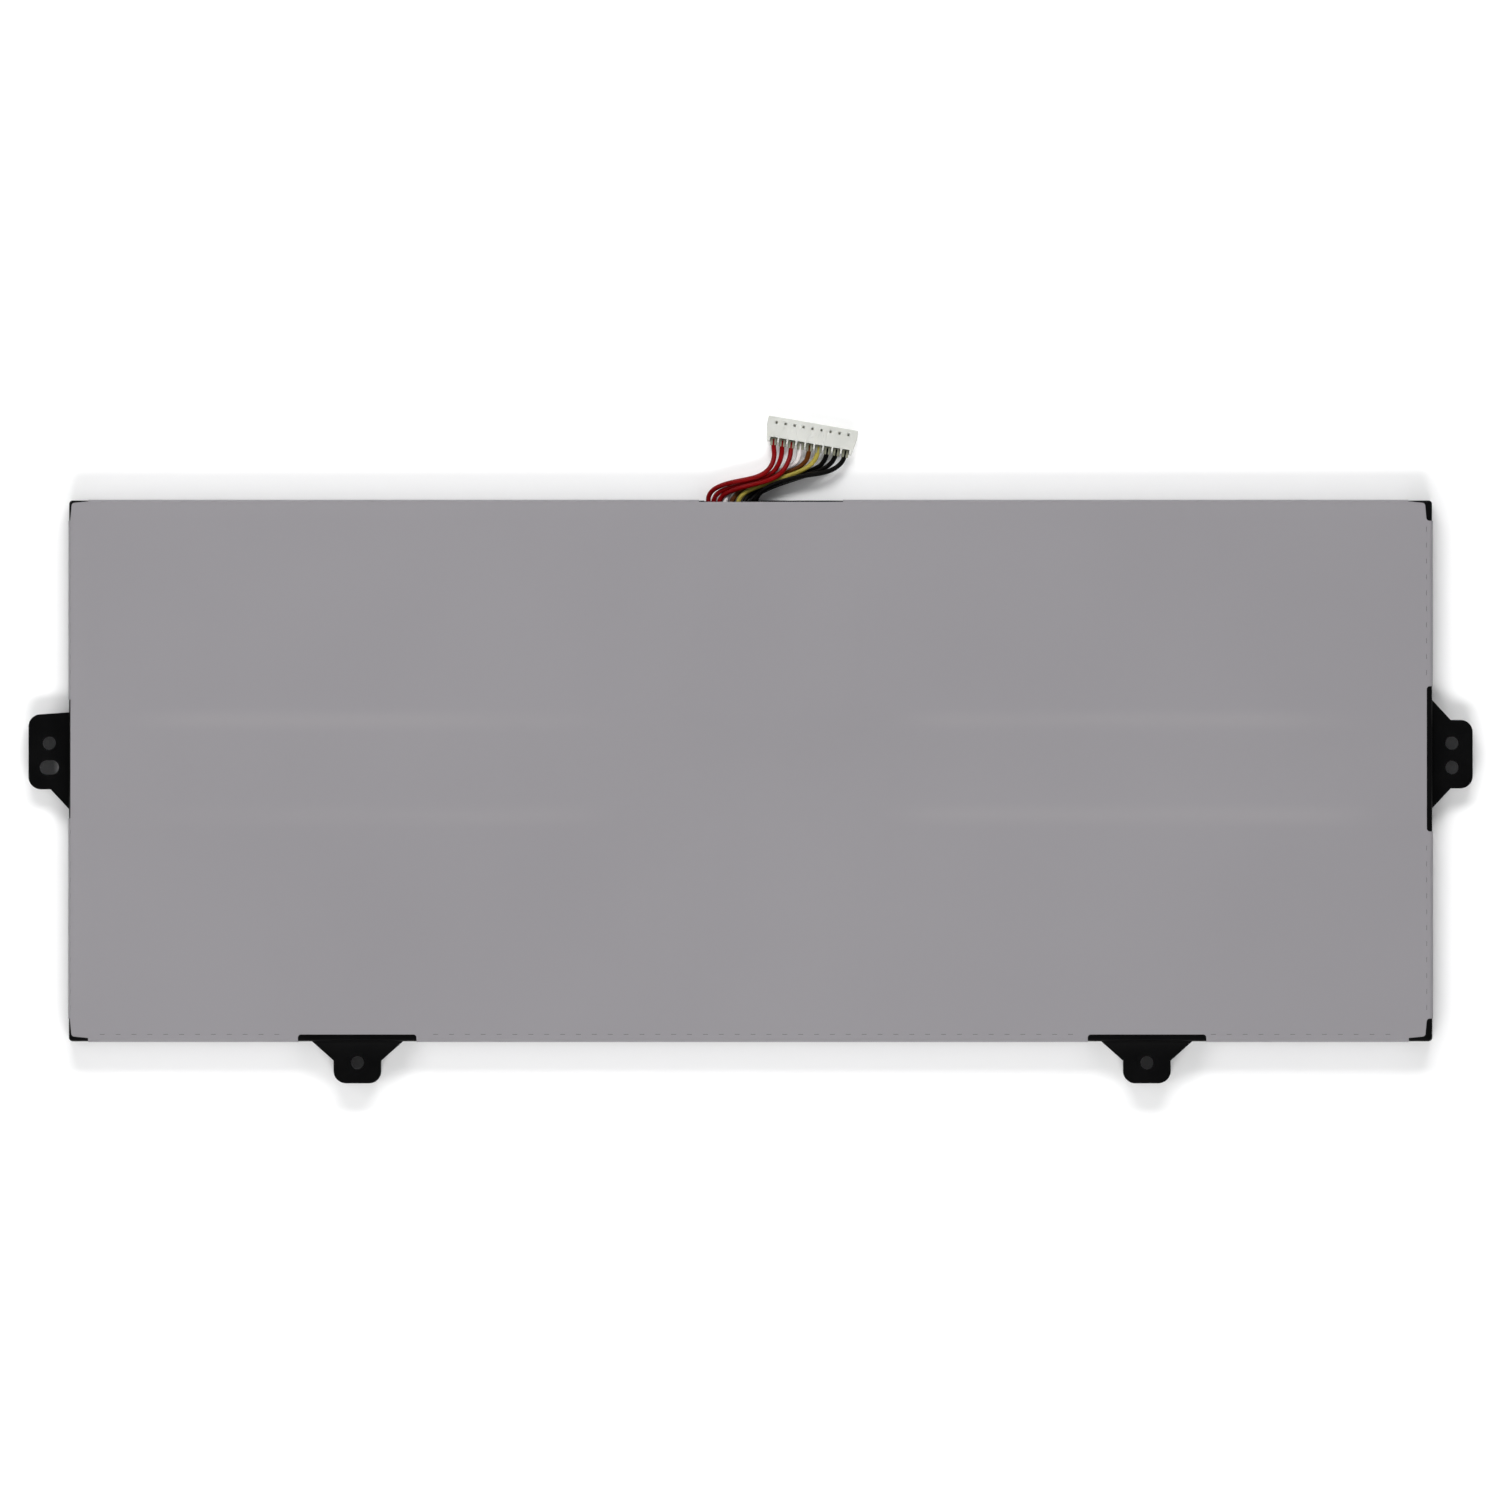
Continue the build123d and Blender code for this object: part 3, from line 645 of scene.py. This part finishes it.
def film_wrap():
    """The grey film: a folded sheet with die-cut corners and notches, and a perforated fold line."""
    bm = box_mesh(film_low, film_high)
    faces_by_height = sorted(bm.faces, key=lambda face: face.calc_center_median().z)
    rim = list(faces_by_height[-1].edges)
    bmesh.ops.delete(bm, geom=faces_by_height[:1], context="FACES_ONLY")
    bmesh.ops.bevel(
        bm,
        geom=rim,
        offset=fold_radius,
        segments=fold_segments,
        profile=0.5,
        affect="EDGES",
        material=-1,
    )
    slice_along(bm, "x", steps(film_low.x, film_high.x, film_grid))
    slice_along(bm, "y", steps(film_low.y, film_high.y, film_grid))
    # Lines of the die
    for side, cut in notch_cut.items():
        across = Vector((1, 1, 0)) - runs_along(side)
        for depth in (cut, cut + slit_width):
            slice_faces(bm, bm.faces[:], fold_place(side, 0, depth), across)
    for outline in waste_outlines:
        cut_outline(bm, outline)
    waste = [face for face in bm.faces if cut_away(face.calc_center_median())]
    bmesh.ops.delete(bm, geom=waste, context="FACES")
    for side in notch_cut:
        cut_slits(bm, side)
    # Relief, then the film's thickness, inwards
    for vert in bm.verts:
        vert.co.z -= film_sag(vert.co.x, vert.co.y) * (vert.co.z > film_high.z - film_thickness)
    bmesh.ops.recalc_face_normals(bm, faces=bm.faces)
    bmesh.ops.solidify(bm, geom=bm.faces[:], thickness=film_thickness)
    add_piece("film_wrap", mesh_from("film_wrap", bm), "film_grey", "top_film")


def base_lift(x, y):
    """How far the base film is drawn up into the bays of the cells."""
    bay = between(abs(x), bay_inner, bay_outer, base_slope)
    rear = between(y, strip_rear, bay_rear, base_slope)
    front = between(y, bay_front, strip_front, base_slope)
    return base_rise * bay * max(rear, front)


def base_sheet():
    """The black film on the underside, drawn a little into the bays of the frame."""
    bm = box_mesh(base_low, base_high)
    rises = [(edge, abs(edge.verts[0].co.z - edge.verts[1].co.z)) for edge in bm.edges]
    upright = [edge for edge, rise in rises if rise > film_thickness / 2]
    bmesh.ops.bevel(
        bm,
        geom=upright,
        offset=base_corner,
        segments=base_corner_segments,
        profile=0.5,
        affect="EDGES",
        material=-1,
    )
    for axis in "xy":
        low, high = getattr(base_low, axis), getattr(base_high, axis)
        slice_along(bm, axis, steps(low, high, base_slope))
    for vert in bm.verts:
        vert.co.z += base_lift(vert.co.x, vert.co.y)
    add_piece("base_sheet", mesh_from("base_sheet", bm), "film_black", "base_film")


def eased_moulding(name, node, slot, edge_radius):
    """A moulding's own shape with its sharp edges eased."""
    bm = bmesh.new()
    bm.from_mesh(frame["nodes"][node].data)
    bmesh.ops.remove_doubles(bm, verts=bm.verts, dist=weld_distance)
    bmesh.ops.dissolve_limit(bm, angle_limit=flat_seam, verts=bm.verts, edges=bm.edges)
    sharp = [edge for edge in bm.edges if edge.is_manifold and edge.calc_face_angle() > sharp_edge]
    bmesh.ops.bevel(
        bm,
        geom=sharp,
        offset=edge_radius,
        segments=edge_segments,
        profile=0.5,
        affect="EDGES",
        material=-1,
        clamp_overlap=True,
    )
    return add_piece(name, mesh_from(name, bm), slot, node)


def draw_on(bm, edges, length):
    """Draws an end of a strip further along the wire, and returns the edges of its new end."""
    drawn = bmesh.ops.extrude_edge_only(bm, edges=edges)["geom"]
    moved = [part for part in drawn if isinstance(part, bmesh.types.BMVert)]
    bmesh.ops.translate(bm, vec=(0, length, 0), verts=moved)
    new_edges = [part for part in drawn if isinstance(part, bmesh.types.BMEdge)]
    return [edge for edge in new_edges if set(edge.verts) <= set(moved)]


def bent_strip(bm, section, rear, front):
    """A strip of the contact's metal with this section, drawn along the wire."""
    verts = [bm.verts.new((x, rear, z)) for x, z in section]
    edges = [bm.edges.new(pair) for pair in zip(verts, verts[1:])]
    return draw_on(bm, edges, front - rear)


def crimp_barrel(bm, radius, opening, rear, front):
    """Two wings rolled round the wire until they nearly meet above it."""
    height = wire_height + radius * cos(opening / 2)
    lip = [bm.verts.new((radius * sin(opening / 2), y, height)) for y in (rear, front)]
    edge = bm.edges.new(lip)
    bmesh.ops.spin(
        bm,
        geom=[*lip, edge],
        cent=(0, 0, wire_height),
        axis=(0, 1, 0),
        angle=2 * pi - opening,
        steps=barrel_steps,
    )


def way_place(way):
    return plug_place @ Matrix.Translation((plug_pitch * (way - (plug_ways - 1) / 2), 0, 0))


def crimp_contact(way, free):
    """One contact: wings that lean with the wire, a pin box open at its latch, and the crimped core."""
    bm = bmesh.new()
    run = way_place(way).inverted() @ (MM * Vector(free[0])) - Vector((0, -crimp_rear, 0))
    crimp_barrel(bm, barrel_radius, barrel_opening, barrel_rear, barrel_front)
    lean = Matrix.Rotation(atan2(run.x, -run.y), 3, "Z")
    bmesh.ops.rotate(bm, cent=(0, -crimp_rear, 0), matrix=lean, verts=bm.verts)
    pin_box = [
        (contact_seam, contact_top),
        (contact_half, contact_top),
        (contact_half, contact_bottom),
        (-contact_half, contact_bottom),
        (-contact_half, contact_top),
        (0, contact_top),
    ]
    box_end = bent_strip(bm, pin_box, box_rear, latch_rear)
    below_latch = [edge for edge in box_end if min(vert.co.z for vert in edge.verts) < wire_height]
    draw_on(bm, below_latch, box_front - latch_rear)
    neck = [(neck_half, contact_bottom), (-neck_half, contact_bottom)]
    bent_strip(bm, neck, neck_rear, box_rear)
    crimp_barrel(bm, core_barrel_radius, core_barrel_opening, core_barrel_rear, core_barrel_front)
    for face in bm.faces:
        place = face.calc_center_median()
        face.normal_update()
        if face.normal.dot(place - Vector((0, place.y, wire_height))) < 0:
            face.normal_flip()
    bmesh.ops.solidify(bm, geom=bm.faces[:], thickness=contact_wall)
    core_middle = Matrix.Translation((0, (core_front - crimp_rear) / 2, wire_height))
    bmesh.ops.create_cone(
        bm,
        cap_ends=True,
        segments=core_sides,
        radius1=core_radius,
        radius2=core_radius,
        depth=core_front + crimp_rear,
        matrix=core_middle @ Matrix.Rotation(pi / 2, 4, "X"),
    )
    bmesh.ops.transform(bm, matrix=way_place(way), verts=bm.verts)
    name = f"contact_{way + 1}"
    return add_piece(name, mesh_from(name, bm), "contact_metal", f"terminal_{way + 1}")


def wire(colour, free, way, far_pieces):
    """One wire of the lead, from its solder joint through the rear slot to its crimp in the plug."""
    end_x = pad_row_x + pad_pitch * (way - (plug_ways - 1) / 2)
    exit_x = free[-1][0]
    fan = zip(fan_share, fan_y, fan_height)
    hidden = [(exit_x + share * (end_x - exit_x), y, z) for share, y, z in fan]
    hidden.append((end_x, pad_row_y, pad_wire_height))
    in_crimp = way_place(way) @ Vector((0, -crimp_rear, wire_height))
    route = [in_crimp, *(MM * Vector(point) for point in [*free, *hidden])]
    route.reverse()
    curve = bpy.data.curves.new(f"lead_{colour}", "CURVE")
    curve.dimensions = "3D"
    curve.bevel_depth = wire_diameter / 2
    curve.bevel_resolution = wire_bevel
    curve.resolution_u = wire_steps
    curve.use_fill_caps = True
    line = curve.splines.new("NURBS")
    line.points.add(len(route) - 1)
    for point, place in zip(line.points, route):
        point.co = (*place, 1)
    line.order_u = wire_order
    line.use_endpoint_u = True
    piece = add_piece(f"lead_{colour}", curve, "wire_" + colour.split("_")[0], f"wire_{colour}")


# Stage
def floor():
    """A white floor, with one painted glow behind the pack that lifts the lead's cast shadow, and one
    far out.
    """
    bm = bmesh.new()
    bmesh.ops.create_grid(bm, x_segments=1, y_segments=1, size=floor_reach)
    mesh = bpy.data.meshes.new("floor")
    bm.to_mesh(mesh)
    bm.free()
    material, tree, shader = new_material("floor_white")
    place = object_place(tree)
    white = ramp(tree, noise(tree, place, 3), (0.95, 0.95, 0.95), (0.96, 0.96, 0.96))
    link(tree, white, shader.inputs["Base Color"])
    shader.inputs["Roughness"].default_value = 0.9
    shader.inputs["Specular IOR Level"].default_value = 0.1
    shader.inputs["Emission Color"].default_value = (1, 1, 1, 1)
    split = tree.nodes.new("ShaderNodeSeparateXYZ")
    link(tree, place, split.inputs["Vector"])
    # Painted light: the floor glows behind the pack so that the lead's cast shadow is lifted
    behind = spread(tree, split.outputs["Y"], painted_glow_start, painted_glow_end, floor_glow, painted_glow)
    away = tree.nodes.new("ShaderNodeVectorMath")
    away.operation = "LENGTH"
    link(tree, place, away.inputs["Vector"])
    far = spread(tree, away.outputs["Value"], far_glow_start, far_glow_end, 0, far_glow)
    link(tree, calculate(tree, "MAXIMUM", behind, far), shader.inputs["Emission Strength"])
    mesh.materials.append(material)
    plane = bpy.data.objects.new("floor", mesh)
    scene.collection.objects.link(plane)


def soft_light(name, place, size, power, glossy):
    data = bpy.data.lights.new(name, "AREA")
    data.shape = "RECTANGLE"
    data.size, data.size_y = size
    data.energy = power
    light = bpy.data.objects.new(name, data)
    light.location = place
    light.rotation_euler = (-Vector(place)).to_track_quat("-Z", "Y").to_euler()
    light.visible_camera = False
    light.visible_glossy = glossy
    scene.collection.objects.link(light)


def studio():
    """Four soft fills that leave no gloss, two strip lights for the highlights, and a dim room."""
    floor()
    for name, (place, size, power) in fills.items():
        soft_light(name, place, size, power, glossy=False)
    for name, (place, size, power) in strips.items():
        soft_light(name, place, size, power, glossy=True)
    world = bpy.data.worlds.new("studio")
    world.use_nodes = True
    room = world.node_tree.nodes["Background"]
    room.inputs["Color"].default_value = room_colour
    room.inputs["Strength"].default_value = room_light
    scene.world = world
    scene.view_settings.view_transform = "Standard"


def photo_camera():
    lens = bpy.data.cameras.new("photo_camera")
    lens.sensor_width = sensor_width
    lens.lens = sensor_width * view_distance / view_width
    camera = bpy.data.objects.new("photo_camera", lens)
    camera.location = view_centre + view_distance * Vector((0, -sin(view_tilt), cos(view_tilt)))
    camera.rotation_euler = (view_tilt, 0, 0)
    scene.collection.objects.link(camera)
    scene.camera = camera


photo_camera()
studio()
for part in frame["record"]["subparts"]:
    node = frame["nodes"][part["node"]]
    node.data.materials.clear()
    node.data.materials.append(finishes[part["material_slot"]])
film_wrap()
base_sheet()
eased_moulding("frame_moulding", "frame", "frame_black", frame_edge)
plug = eased_moulding("plug_housing", "connector_housing", "plug_white", plug_edge)
for way, (colour, free) in enumerate(free_routes.items()):
    wire(colour, free, way, [crimp_contact(way, free), plug])
